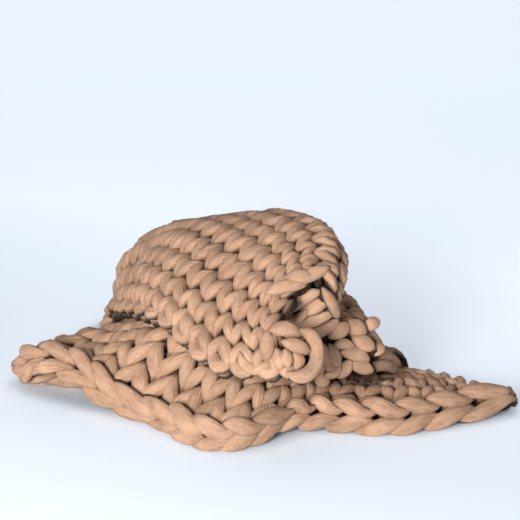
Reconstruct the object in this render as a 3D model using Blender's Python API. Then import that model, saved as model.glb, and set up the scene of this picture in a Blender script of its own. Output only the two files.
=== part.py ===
"""Weighted blanket: a chunky hand knit of filled tube yarn, lying in a heap.

Metres, +Z up, the floor at Z = 0. One continuous rectangular cloth: it starts at
the bind-off edge along the front of the heap, runs back over the floor, folds
back and forth under the heap and ends at the cast-on edge of the top fold.
"""
import math
from collections import namedtuple

import bpy
import numpy as np
from mathutils.bvhtree import BVHTree

# ---- the knit ------------------------------------------------------------------
WALES = 19              # columns of stitches across the cloth
COURSES = 30            # rows of stitches along the cloth
FLAT_WIDTH = 1.22       # the cloth laid out flat
FLAT_LENGTH = 1.52
THICKNESS = 0.043       # over the stitches
VALLEY = 0.012          # half thickness between two stitches
TURN_COURSE = 7         # from this course on the knit side is the other face
CHAIN_DEPTH = 0.046     # the bind-off chain beyond the first course
RIM = 0.013             # the round of the other edges
LEG_ENDS = (0.60, 0.92)    # courses up from a stitch's foot to the two ends of a leg's ridge
LEG_INSET = 0.14           # wales from the side of a leg to the end of its ridge
Link = namedtuple("Link", "height low high")    # shares of half thickness and chain depth
LINK_ROWS = (Link(1.2, .12, .34), Link(.9, .84, .66))
STANDING = .6           # the chain stands this much taller along the flat right tail
STANDING_WALES = (9, 12)   # where it rises to that
LIES_FLAT = 0.014       # an underside nearer to the floor than this rests on it
LAYER_GAP = 0.0525      # least distance of two layers, middle to middle
SETTLE_TURNS = 90
OWN_SPACING = 0.3       # 1: even courses along every wale, 0: courses straight across

HALF = THICKNESS / 2
REST = HALF             # height of the middle of a layer that lies on the floor

# ---- where the cloth lies: heights are above the resting height -----------------
# Floor sections run from the end of the left tail, round its tip, over its top,
# along the bind-off edge of the front and on to the tip of the right tail.
Station = namedtuple("Station", "share place")
FLOOR_STATIONS = (
    Station(0.000, "tail end"), Station(0.050, "tail under"), Station(0.085, "tail tip"),
    Station(0.130, "tail top"), Station(0.240, "shoulder"), Station(0.310, "left front"),
    Station(0.375, "left foot"), Station(0.500, "front"), Station(0.580, "front corner"),
    Station(0.630, "crease"), Station(0.680, "right root"), Station(0.760, "right front"),
    Station(0.840, "right middle"), Station(0.920, "right far"), Station(1.000, "right tip"),
)
Section = namedtuple("Section", "name line")
FLOOR = (
    Section("bind-off edge", (
        (-.298, .113, 0), (-.398, .132, 0), (-.473, .132, .010), (-.439, .096, .036),
        (-.335, .026, .044), (-.262, -.020, .018), (-.185, -.070, 0), (-.078, -.178, 0),
        (-.003, -.162, .006), (.045, -.120, .013), (.093, -.095, .008), (.172, -.098, .002),
        (.262, -.105, 0), (.352, -.070, 0), (.462, -.018, .003))),
    Section("front slope", (
        (-.270, .185, 0), (-.350, .212, 0), (-.412, .206, .010), (-.372, .160, .036),
        (-.285, .083, .062), (-.200, .025, .095), (-.118, -.015, .088), (-.020, -.092, .062),
        (.040, -.080, .045), (.084, -.052, .034), (.132, -.028, .028), (.208, -.025, .024),
        (.280, -.025, .016), (.352, .000, .005), (.416, .032, 0))),
    Section("front crest", (
        (-.245, .27, 0), (-.285, .295, 0), (-.308, .285, .012), (-.274, .225, .046),
        (-.190, .135, .100), (-.110, .075, .118), (-.028, .025, .102), (.038, -.010, .072),
        (.080, .005, .050), (.105, .028, .040), (.142, .042, .031), (.192, .048, .024),
        (.246, .052, .014), (.300, .060, .005), (.354, .080, 0))),
)
# Upper sections run from the back-left selvedge to the front-right one. A fold is
# given by the line of its outermost middle; side +1 opens to the left, -1 to the
# right, lean tips its outer side up in degrees.
UPPER_SHARES = (0, .25, .5, .66, .84, 1)
Upper = namedtuple("Upper", "name side lean radius line")
UPPER = (
    Upper("under the heap", 0, 0, 0, (
        (-.250, .37, 0), (-.143, .31, .009), (-.012, .20, .020), (.062, .164, .018),
        (.155, .138, .013), (.275, .090, .010))),
    Upper("right fold", 1, 5, .034, (
        (-.18, .51, .080), (-.08, .47, .100), (.015, .405, .110), (.108, .30, .113),
        (.190, .15, .108), (.224, -.025, .094))),
    Upper("left fold", -1, 15, .028, (
        (-.26, .48, .07), (-.20, .395, .130), (-.15, .275, .168), (-.09, .155, .190),
        (-.01, .03, .190), (.055, -.07, .175))),
    Upper("top right fold", 1, 22, .030, (
        (-.16, .60, .06), (-.09, .53, .14), (-.01, .40, .222), (.06, .25, .268),
        (.138, .03, .292), (.128, -.075, .245))),
    Upper("top", 0, 0, 0, (
        (-.28, .55, .05), (-.205, .45, .155), (-.13, .31, .238), (-.055, .15, .268),
        (.038, -.025, .275), (.060, -.115, .240))),
    Upper("top slope", 0, 0, 0, (
        (-.315, .49, .02), (-.262, .39, .115), (-.215, .25, .190), (-.15, .08, .214),
        (-.045, -.095, .205), (.030, -.165, .190))),
    Upper("cast-on edge", 0, 0, 0, (
        (-.335, .46, 0), (-.305, .32, .050), (-.262, .16, .130), (-.187, .005, .162),
        (-.072, -.168, .130), (.060, -.213, .133))),
)
FOLD_POINTS = ((0, -1), (.72, -.72), (1, 0), (.72, .72), (0, 1))   # round a fold: out, up

TAN = (0.56, 0.36, 0.23, 1.0)


def cubic(knots, points, at):
    """Smooth curve through points that lie at knots (first axis), read at the values at."""
    knots = np.asarray(knots, float)
    flat = (-1,) + (1,) * (points.ndim - 1)
    step = np.diff(knots)
    chord = np.diff(points, axis=0) / step.reshape(flat)
    slope = np.empty_like(points)
    slope[0], slope[-1] = chord[0], chord[-1]
    weight = (step[1:] / (step[1:] + step[:-1])).reshape(flat)
    slope[1:-1] = weight * chord[:-1] + (1 - weight) * chord[1:]
    k = np.clip(np.searchsorted(knots, at, side="right") - 1, 0, len(knots) - 2)
    h = step[k].reshape(flat)
    u = ((at - knots[k]) / step[k]).reshape(flat)
    return ((2 * u**3 - 3 * u**2 + 1) * points[k] + (u**3 - 2 * u**2 + u) * h * slope[k]
            + (3 * u**2 - 2 * u**3) * points[k + 1] + (u**3 - u**2) * h * slope[k + 1])


def fold_lines(row, line):
    """Lines round a fold, from its lower layer over the outermost line to its upper layer."""
    along = np.gradient(line, axis=0)
    along[:, 2] = 0
    along /= np.linalg.norm(along, axis=1, keepdims=True)
    outward = row.side * np.stack([-along[:, 1], along[:, 0], 0 * along[:, 0]], axis=1)
    upward = np.array([0, 0, 1.0])
    lean = math.radians(row.lean) * row.side
    out = outward * math.cos(lean) + upward * math.sin(lean)
    over = -outward * math.sin(lean) + upward * math.cos(lean)
    return [line + (out * (a - 1) + over * b) * row.radius for a, b in FOLD_POINTS]


def section_lines(shares):
    """Every section of the cloth as a line of points at the given shares of its width."""
    knots = [station.share for station in FLOOR_STATIONS]
    lines = [cubic(knots, np.array(row.line, float), shares) for row in FLOOR]
    for row in UPPER:
        line = cubic(UPPER_SHARES, np.array(row.line, float), shares)
        lines += fold_lines(row, line) if row.side else [line]
    return np.array(lines)


def settle(grid, gap, turns):
    """Push layers apart until their middles are `gap` apart, and keep them off the floor.

    Points of one layer that are `reach` from each other along the cloth may come as
    near as a bend of radius gap / 2 brings them.
    """
    columns, rows, _ = grid.shape
    grid = grid.copy()
    column, row = np.divmod(np.arange(columns * rows), rows)
    across, along = np.gradient(grid, axis=(0, 1))
    stretch_across = (across * across).sum(axis=2).ravel()
    stretch_along = (along * along).sum(axis=2).ravel()
    shear = (across * along).sum(axis=2).ravel()
    for _ in range(turns):
        flat = grid.reshape(-1, 3)
        move = np.zeros_like(flat)
        hits = np.zeros(len(flat))
        cell = np.floor(flat / gap).astype(int)
        cell -= cell.min(axis=0) - 1
        size = cell.max(axis=0) + 2
        code = (cell[:, 0] * size[1] + cell[:, 1]) * size[2] + cell[:, 2]
        order = np.argsort(code, kind="stable")
        sorted_code = code[order]
        for offset in np.ndindex(3, 3, 3):
            dx, dy, dz = np.array(offset) - 1
            want = code + (dx * size[1] + dy) * size[2] + dz
            low = np.searchsorted(sorted_code, want, "left")
            high = np.searchsorted(sorted_code, want, "right")
            for k in range(int((high - low).max())):
                one = np.nonzero(low + k < high)[0]
                other = order[low[one] + k]
                dw, dc = column[one] - column[other], row[one] - row[other]
                reach = ((stretch_across[one] + stretch_across[other]) * dw**2
                         + (shear[one] + shear[other]) * 2 * dw * dc
                         + (stretch_along[one] + stretch_along[other]) * dc**2) / 2
                reach = np.sqrt(np.maximum(reach, 0))
                least = gap * np.sin(np.minimum(reach * .85 / gap, math.pi / 2))
                away = flat[one] - flat[other]
                distance = np.linalg.norm(away, axis=1)
                near = (distance < least) & (distance > 1e-6)
                one, away, distance, least = one[near], away[near], distance[near], least[near]
                push = away / distance[:, None] * ((least - distance) / 2)[:, None]
                np.add.at(move, one, push)
                np.add.at(hits, one, 1)
        if not hits.any():
            break
        grid = grid + (move / np.maximum(hits, 1)[:, None]).reshape(grid.shape)
        eased = grid.copy()
        eased[1:-1] += (grid[:-2] + grid[2:] - 2 * grid[1:-1]) * .12
        eased[:, 1:-1] += (grid[:, :-2] + grid[:, 2:] - 2 * grid[:, 1:-1]) * .06
        touched = hits.reshape(columns, rows, 1) > 0
        grid = np.where(touched, eased, grid)
        grid[..., 2] = np.maximum(grid[..., 2], REST)
    return grid


class Cloth:
    """The middle surface of the cloth, read by stitch: wale and course."""

    ACROSS = 3           # points of the grid a wale
    ALONG = 4            # points of the grid a course

    def __init__(self):
        """Lay the sections, space the courses evenly along each wale and settle the layers."""
        columns, rows = self.ACROSS * WALES + 1, self.ALONG * COURSES + 1
        net = section_lines(np.linspace(0, 1, columns))
        net[..., 2] += REST
        step = np.linalg.norm(np.diff(net, axis=0), axis=2).mean(axis=1)
        knots = np.concatenate([[0], np.cumsum(np.sqrt(step))])
        place = np.linspace(0, knots[-1], 1600)
        fine = cubic(knots, net, place)
        run = np.linalg.norm(np.diff(fine, axis=0), axis=2)
        run = np.concatenate([np.zeros((1, columns)), np.cumsum(run, axis=0)])
        run /= run[-1]
        share = np.linspace(0, 1, rows)
        common = np.interp(share, run.mean(axis=1), place)
        grid = np.empty((columns, rows, 3))
        for i in range(columns):
            own = np.interp(share, run[:, i], place)
            grid[i] = cubic(knots, net[:, i], common + (own - common) * OWN_SPACING)
        grid[..., 2] = np.maximum(grid[..., 2], REST)
        grid[1:-1] += (grid[:-2] + grid[2:] - 2 * grid[1:-1]) * .25
        for _ in range(3):
            grid[:, 1:-1] += (grid[:, :-2] + grid[:, 2:] - 2 * grid[:, 1:-1]) * .1
        self.grid = settle(grid, LAYER_GAP, SETTLE_TURNS)

    def point(self, wale, course):
        """Points of the middle surface at wales and courses (arrays); straight on past the edges."""
        wale, course = np.broadcast_arrays(np.asarray(wale, float), np.asarray(course, float))
        inner_w, inner_c = np.clip(wale, 0, WALES), np.clip(course, 0, COURSES)
        base = self._read(inner_w, inner_c)
        out_w, out_c = wale - inner_w, course - inner_c
        if np.any(out_w):
            inside = np.clip(inner_w, .3, WALES - .3)
            slope = (self._read(inner_w, inner_c) - self._read(inside, inner_c))
            base = base + slope * (np.abs(out_w) / .3)[..., None]
        if np.any(out_c):
            inside = np.clip(inner_c, .3, COURSES - .3)
            slope = (self._read(inner_w, inner_c) - self._read(inner_w, inside))
            base = base + slope * (np.abs(out_c) / .3)[..., None]
        return base

    def _read(self, wale, course):
        """Bicubic reading of the settled grid."""
        weights, index = [], []
        for value, per, last in ((wale, self.ACROSS, self.grid.shape[0] - 1),
                                 (course, self.ALONG, self.grid.shape[1] - 1)):
            x = value * per
            k = np.clip(np.floor(x).astype(int), 0, last - 1)
            u = x - k
            weights.append((-.5 * u**3 + u**2 - .5 * u, 1.5 * u**3 - 2.5 * u**2 + 1,
                            -1.5 * u**3 + 2 * u**2 + .5 * u, .5 * u**3 - .5 * u**2))
            index.append([np.clip(k + o, 0, last) for o in (-1, 0, 1, 2)])
        total = 0
        for a in range(4):
            for b in range(4):
                share = (weights[0][a] * weights[1][b])[..., None]
                total = total + share * self.grid[index[0][a], index[1][b]]
        return total

    def frame(self, wale, course):
        """Point, unit direction across, unit direction along and unit normal."""
        wale, course = np.broadcast_arrays(np.asarray(wale, float), np.asarray(course, float))
        w0, w1 = np.clip(wale - .2, 0, WALES - .4), np.clip(wale + .2, .4, WALES)
        c0, c1 = np.clip(course - .2, 0, COURSES - .4), np.clip(course + .2, .4, COURSES)
        inner_w, inner_c = np.clip(wale, 0, WALES), np.clip(course, 0, COURSES)
        across = self._read(w1, inner_c) - self._read(w0, inner_c)
        along = self._read(inner_w, c1) - self._read(inner_w, c0)
        across /= np.linalg.norm(across, axis=-1, keepdims=True)
        along /= np.linalg.norm(along, axis=-1, keepdims=True)
        normal = np.cross(across, along)
        normal /= np.linalg.norm(normal, axis=-1, keepdims=True)
        return self.point(wale, course), across, along, normal


class Shell:
    """Points as a place on the middle surface plus a height off it, and the faces between them."""

    def __init__(self, cloth):
        self.cloth = cloth
        self.places = []
        self.faces = []

    def add(self, wale, course, height, slide=0.0):
        """A point at wale and course, `height` off the middle; slide moves it out past the edge."""
        self.places.append((wale, course, height, slide))
        return len(self.places) - 1

    def fan(self, side, *corners):
        """A flat fan of triangles over the corners; side turns it to face outwards."""
        for k in range(1, len(corners) - 1):
            face = (corners[0], corners[k], corners[k + 1])
            self.faces.append(face if side > 0 else face[::-1])

    def points(self, shrink):
        """Places in space; shrink (one a point) draws a point in to the middle surface."""
        wale, course, height, slide = np.array(self.places).T
        base, across, along, normal = self.cloth.frame(wale, course)
        where = base + normal * (height * shrink)[:, None]
        outward = np.where(course[:, None] <= 0, -along, 0.0)
        outward = np.where(course[:, None] >= COURSES, along, outward)
        edge = (course > 0) & (course < COURSES)
        outward = np.where((edge & (wale <= 0))[:, None], -across, outward)
        outward = np.where((edge & (wale >= WALES))[:, None], across, outward)
        where = where + outward * (slide * (1 + shrink) / 2)[:, None]
        rests = (course < 4) & (height < 0) & (where[:, 2] < LIES_FLAT)
        where[:, 2] = np.where(rests, 0, np.maximum(where[:, 2], 0))
        return where


def knit_side(side, course):
    """True where the face on this side of the cloth is the knit side."""
    return (course < TURN_COURSE) == (side > 0)


def lattice(shell, side):
    """Points between the stitches on one face: on the wale lines they lie half a course up."""
    points = {}
    for i in range(2 * WALES + 1):
        for j in range(COURSES if i % 2 == 0 else COURSES + 1):
            course = j + .5 if i % 2 == 0 else j
            inner = VALLEY if knit_side(side, course) else HALF
            points[i, j] = shell.add(i / 2, course, side * inner)
    return points


def knit_face(shell, side, points):
    """Stitches of one face: two slanted legs a stitch on the knit side, plain on the other."""
    for i in range(2 * WALES):
        left_end, right_end = LEG_ENDS if i % 2 else LEG_ENDS[::-1]
        for j in range(COURSES - 1):
            low_left, low_right = points[i, j], points[i + 1, j]
            high_right, high_left = points[i + 1, j + 1], points[i, j + 1]
            if not knit_side(side, j + .75):
                shell.fan(side, low_left, low_right, high_right, high_left)
                continue
            left = shell.add(i / 2 + LEG_INSET, j + left_end, side * HALF)
            right = shell.add((i + 1) / 2 - LEG_INSET, j + right_end, side * HALF)
            shell.fan(side, low_left, low_right, right, left)
            shell.fan(side, low_right, high_right, right)
            shell.fan(side, high_right, high_left, left, right)
            shell.fan(side, high_left, low_left, left)


def end_fill(shell, side, points, last):
    """Fill the half courses at an end of the cloth; gives the straight line of points there."""
    line = []
    row = COURSES if last else 0
    inner_row = COURSES - 1 if last else 0
    for i in range(2 * WALES + 1):
        if i % 2:
            line.append(points[i, row])
            continue
        height = VALLEY if knit_side(side, row) else HALF
        line.append(shell.add(i / 2, row, side * height))
    for i in range(0, 2 * WALES + 1, 2):
        inner = points[i, inner_row]
        if i > 0:
            shell.fan(-side if last else side, line[i - 1], line[i], inner)
        if i < 2 * WALES:
            shell.fan(-side if last else side, line[i], line[i + 1], inner)
    if last:
        for i in range(1, 2 * WALES, 2):
            shell.fan(side, points[i, inner_row], points[i + 1, inner_row], line[i])
            shell.fan(side, points[i - 1, inner_row], points[i, inner_row], line[i])
    return line


def bind_off(shell, face, back):
    """The chain along the bind-off edge: two rows of slanted links on the face, a plain back."""
    middle, rim = [], []
    for i in range(2 * WALES + 1):
        middle.append(shell.add(i / 2, 0, VALLEY * 1.1, CHAIN_DEPTH * .5))
        rim.append(shell.add(i / 2, 0, -HALF * .35, CHAIN_DEPTH))
    for upper, lower, row in ((face, middle, LINK_ROWS[0]), (middle, rim, LINK_ROWS[1])):
        for i in range(0, 2 * WALES, 2):
            height = HALF * row.height * (1 + STANDING * np.interp(i / 2, STANDING_WALES, (0, 1)))
            low = shell.add(i / 2 + .25, 0, height, CHAIN_DEPTH * row.low)
            high = shell.add(i / 2 + .75, 0, height, CHAIN_DEPTH * row.high)
            shell.fan(1, upper[i], lower[i], low)
            shell.fan(1, lower[i], lower[i + 1], low)
            shell.fan(1, lower[i + 1], high, low)
            shell.fan(1, lower[i + 1], lower[i + 2], high)
            shell.fan(1, lower[i + 2], upper[i + 2], high)
            shell.fan(1, upper[i + 2], upper[i + 1], high)
            shell.fan(1, upper[i + 1], low, high)
            shell.fan(1, upper[i + 1], upper[i], low)
    for i in range(2 * WALES):
        shell.fan(1, back[i], back[i + 1], rim[i + 1], rim[i])
    return middle, rim


def build_shell(cloth):
    """Both faces, the chain, the round cast-on edge and the two selvedges as one closed shell."""
    shell = Shell(cloth)
    face, back = lattice(shell, 1), lattice(shell, -1)
    knit_face(shell, 1, face)
    knit_face(shell, -1, back)
    start_face, start_back = end_fill(shell, 1, face, False), end_fill(shell, -1, back, False)
    end_face, end_back = end_fill(shell, 1, face, True), end_fill(shell, -1, back, True)
    middle, rim = bind_off(shell, start_face, start_back)
    tip = [shell.add(i / 2, COURSES, 0, RIM) for i in range(2 * WALES + 1)]
    for i in range(2 * WALES):
        shell.fan(1, end_face[i], end_face[i + 1], tip[i + 1], tip[i])
        shell.fan(1, tip[i], tip[i + 1], end_back[i + 1], end_back[i])
    for i, side in ((0, 1), (2 * WALES, -1)):
        faces = [start_face[i]] + [face[i, j] for j in range(COURSES)] + [end_face[i]]
        backs = [start_back[i]] + [back[i, j] for j in range(COURSES)] + [end_back[i]]
        edges = [rim[i]]
        for j in range(COURSES):
            edges.append(shell.add(i / 2, j + .5, 0, RIM))
        edges.append(tip[i])
        shell.fan(side, start_face[i], faces[1], edges[1], edges[0], middle[i])
        shell.fan(side, backs[0], edges[0], edges[1], backs[1])
        for j in range(1, COURSES + 1):
            shell.fan(side, faces[j], faces[j + 1], edges[j + 1], edges[j])
            shell.fan(side, edges[j], edges[j + 1], backs[j + 1], backs[j])
    return shell


def ease(shell):
    """Draw points in to the middle of the cloth where a tight fold would press faces together."""
    shrink = np.ones(len(shell.places))
    for _ in range(40):
        points = shell.points(shrink)
        tree = BVHTree.FromPolygons([tuple(p) for p in points], shell.faces, epsilon=0.0)
        crossing = set()
        for a, b in tree.overlap(tree):
            if a < b and not set(shell.faces[a]) & set(shell.faces[b]):
                crossing.update(shell.faces[a])
                crossing.update(shell.faces[b])
        if not crossing:
            break
        shrink[list(crossing)] = np.maximum(shrink[list(crossing)] * .9, .08)
    return shell.points(shrink)


def main():
    """Build the blanket."""
    for item in list(bpy.data.objects):
        bpy.data.objects.remove(item, do_unlink=True)
    shell = build_shell(Cloth())
    points = ease(shell)
    low, high = points.min(axis=0), points.max(axis=0)
    points -= np.array([(low[0] + high[0]) / 2, (low[1] + high[1]) / 2, 0])
    mesh = bpy.data.meshes.new("knit_blanket")
    mesh.from_pydata([tuple(p) for p in points], [], shell.faces)
    mesh.update()
    mesh.shade_smooth()
    material = bpy.data.materials.new("jersey_yarn")
    material.use_nodes = True
    surface = material.node_tree.nodes["Principled BSDF"]
    surface.inputs["Base Color"].default_value = TAN
    surface.inputs["Roughness"].default_value = .9
    mesh.materials.append(material)
    blanket = bpy.data.objects.new("knit_blanket", mesh)
    group = bpy.data.collections.new("weighted_blanket")
    bpy.context.scene.collection.children.link(group)
    group.objects.link(blanket)


main()
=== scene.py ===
"""A chunky hand-knitted weighted blanket of filled tube yarn, lying in a heap.

The cloth's middle surface is laid from short tables of sections, as in the part's
solid. The yarn itself is then knitted over it: long tubes that run through every
stitch of their rows, a chain of links along the front edge, and single strands where
yarn stands out of the rows.
"""
import logging
import math
from collections import namedtuple
from dataclasses import dataclass, field
from enum import Enum

import bmesh
import bpy
import numpy as np
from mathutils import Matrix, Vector
from mathutils.kdtree import KDTree


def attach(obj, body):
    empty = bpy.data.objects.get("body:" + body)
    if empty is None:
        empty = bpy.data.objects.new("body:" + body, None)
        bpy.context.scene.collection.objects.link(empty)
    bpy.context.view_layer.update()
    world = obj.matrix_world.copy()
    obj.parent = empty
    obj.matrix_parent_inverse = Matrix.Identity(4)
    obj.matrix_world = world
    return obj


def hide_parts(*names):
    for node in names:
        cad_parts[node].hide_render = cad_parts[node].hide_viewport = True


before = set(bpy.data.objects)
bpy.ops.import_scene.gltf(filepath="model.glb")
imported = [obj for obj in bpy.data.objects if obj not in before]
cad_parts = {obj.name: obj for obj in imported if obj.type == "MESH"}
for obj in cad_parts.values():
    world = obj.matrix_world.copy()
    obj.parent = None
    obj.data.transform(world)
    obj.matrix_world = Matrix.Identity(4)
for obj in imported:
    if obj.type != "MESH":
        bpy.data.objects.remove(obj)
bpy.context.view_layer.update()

log = logging.getLogger("blanket")
CAD_NODE = "knit_blanket"
HEAP_MIDDLE = (-.0032744, .2008473, 0)   # of the solid's box on the floor, in the tables' frame
TINY = 1e-6                              # metres; points closer than this are one


class KnitFace(Enum):
    """The face of the cloth that carries the V stitches."""

    UPPER = 1.0
    LOWER = -1.0


# ---- where the cloth lies --------------------------------------------------------
Station = namedtuple("Station", "share place")
FLOOR_STATIONS = (
    Station(0.000, "tail end"), Station(0.050, "tail under"), Station(0.085, "tail tip"),
    Station(0.130, "tail top"), Station(0.240, "shoulder"), Station(0.310, "left front"),
    Station(0.375, "left foot"), Station(0.500, "front"), Station(0.580, "front corner"),
    Station(0.630, "crease"), Station(0.680, "right root"), Station(0.760, "right front"),
    Station(0.840, "right middle"), Station(0.920, "right far"), Station(1.000, "right tip"),
)
Section = namedtuple("Section", "name line")
FLOOR = (
    Section("bind-off edge", (
        (-.298, .113, 0), (-.398, .132, 0), (-.473, .132, .010), (-.439, .096, .036),
        (-.335, .026, .044), (-.262, -.020, .018), (-.185, -.070, 0), (-.078, -.178, 0),
        (-.003, -.162, .006), (.045, -.120, .013), (.093, -.095, .008), (.172, -.098, .002),
        (.262, -.105, 0), (.352, -.070, 0), (.462, -.018, .003))),
    Section("front slope", (
        (-.270, .185, 0), (-.350, .212, 0), (-.412, .206, .010), (-.372, .160, .036),
        (-.285, .083, .062), (-.200, .025, .095), (-.118, -.015, .088), (-.020, -.092, .062),
        (.040, -.080, .045), (.084, -.052, .034), (.132, -.028, .028), (.208, -.025, .024),
        (.280, -.025, .016), (.352, .000, .005), (.416, .032, 0))),
    Section("front crest", (
        (-.245, .27, 0), (-.285, .295, 0), (-.308, .285, .012), (-.274, .225, .046),
        (-.190, .135, .100), (-.110, .075, .118), (-.028, .025, .102), (.038, -.010, .072),
        (.080, .005, .050), (.105, .028, .040), (.142, .042, .031), (.192, .048, .024),
        (.246, .052, .014), (.300, .060, .005), (.354, .080, 0))),
)
UPPER_SHARES = (0, .25, .5, .66, .84, 1)
Upper = namedtuple("Upper", "name side lean radius line")
UPPER = (
    Upper("under the heap", 0, 0, 0, (
        (-.250, .37, 0), (-.143, .31, .009), (-.012, .20, .020), (.062, .164, .018),
        (.155, .138, .013), (.275, .090, .010))),
    Upper("right fold", 1, 5, .034, (
        (-.18, .51, .080), (-.08, .47, .100), (.015, .405, .110), (.108, .30, .113),
        (.190, .15, .108), (.224, -.025, .094))),
    Upper("left fold", -1, 15, .028, (
        (-.26, .48, .07), (-.20, .395, .130), (-.15, .275, .168), (-.09, .155, .190),
        (-.01, .03, .190), (.055, -.07, .175))),
    Upper("top right fold", 1, 22, .030, (
        (-.16, .60, .06), (-.09, .53, .14), (-.01, .40, .222), (.06, .25, .268),
        (.138, .03, .292), (.128, -.075, .245))),
    Upper("top", 0, 0, 0, (
        (-.28, .55, .05), (-.205, .45, .155), (-.13, .31, .238), (-.055, .15, .268),
        (.038, -.025, .275), (.060, -.115, .240))),
    Upper("top slope", 0, 0, 0, (
        (-.315, .49, .02), (-.262, .39, .115), (-.215, .25, .190), (-.15, .08, .214),
        (-.045, -.095, .205), (.030, -.165, .190))),
    Upper("cast-on edge", 0, 0, 0, (
        (-.335, .46, 0), (-.305, .32, .050), (-.262, .16, .130), (-.187, .005, .162),
        (-.072, -.168, .130), (.060, -.213, .133))),
)
FOLD_POINTS = ((0, -1), (.72, -.72), (1, 0), (.72, .72), (0, 1))   # round a fold: out, up


def cubic(knots: np.ndarray, points: np.ndarray, at: np.ndarray) -> np.ndarray:
    """Smooth curve through points.

    Args:
        knots: Where the points lie, rising.
        points: The points, one a knot along the first axis.
        at: The places at which the curve is read.

    Returns:
        The curve's points at those places.
    """
    knots = np.asarray(knots, float)
    flat = (-1,) + (1,) * (points.ndim - 1)
    step = np.diff(knots)
    chord = np.diff(points, axis=0) / step.reshape(flat)
    slope = np.empty_like(points)
    slope[0], slope[-1] = chord[0], chord[-1]
    weight = (step[1:] / (step[1:] + step[:-1])).reshape(flat)
    slope[1:-1] = weight * chord[:-1] + (1 - weight) * chord[1:]
    k = np.clip(np.searchsorted(knots, at, side="right") - 1, 0, len(knots) - 2)
    h = step[k].reshape(flat)
    u = ((at - knots[k]) / step[k]).reshape(flat)
    return ((2 * u**3 - 3 * u**2 + 1) * points[k] + (u**3 - 2 * u**2 + u) * h * slope[k]
            + (3 * u**2 - 2 * u**3) * points[k + 1] + (u**3 - u**2) * h * slope[k + 1])


def unit(vectors: np.ndarray) -> np.ndarray:
    """Vectors brought to a length of 1, where they have one."""
    return vectors / (np.linalg.norm(vectors, axis=-1, keepdims=True) + 1e-9)


def ways(line: np.ndarray) -> np.ndarray:
    """Way along a line to each of its points; a second axis holds more lines."""
    step = np.linalg.norm(np.diff(line, axis=0), axis=-1)
    return np.concatenate([0 * step[:1], np.cumsum(step, axis=0)])


def to_neighbours(grid: np.ndarray, axis: int) -> np.ndarray:
    """Ways from each point to its neighbours.

    Args:
        grid: Points by column and row.
        axis: The axis along which a point has two neighbours.

    Returns:
        The sum of both ways at each point, and none at the ends.
    """
    way = np.zeros_like(grid)
    here, there = np.moveaxis(grid, axis, 0), np.moveaxis(way, axis, 0)
    there[1:-1] = here[:-2] + here[2:] - 2 * here[1:-1]
    return way


@dataclass
class Gauge:
    """How the blanket is knitted."""

    wales: int = 19
    courses: int = 30
    turn_course: int = 7          # from here on the knit side is the lower face
    half: float = 0.0215          # half the thickness over the stitches
    layer_gap: float = 0.0525     # least distance of two layers, middle to middle
    wale_pitch: float = 0.0642    # of the cloth laid out flat
    course_pitch: float = 0.0507


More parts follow.
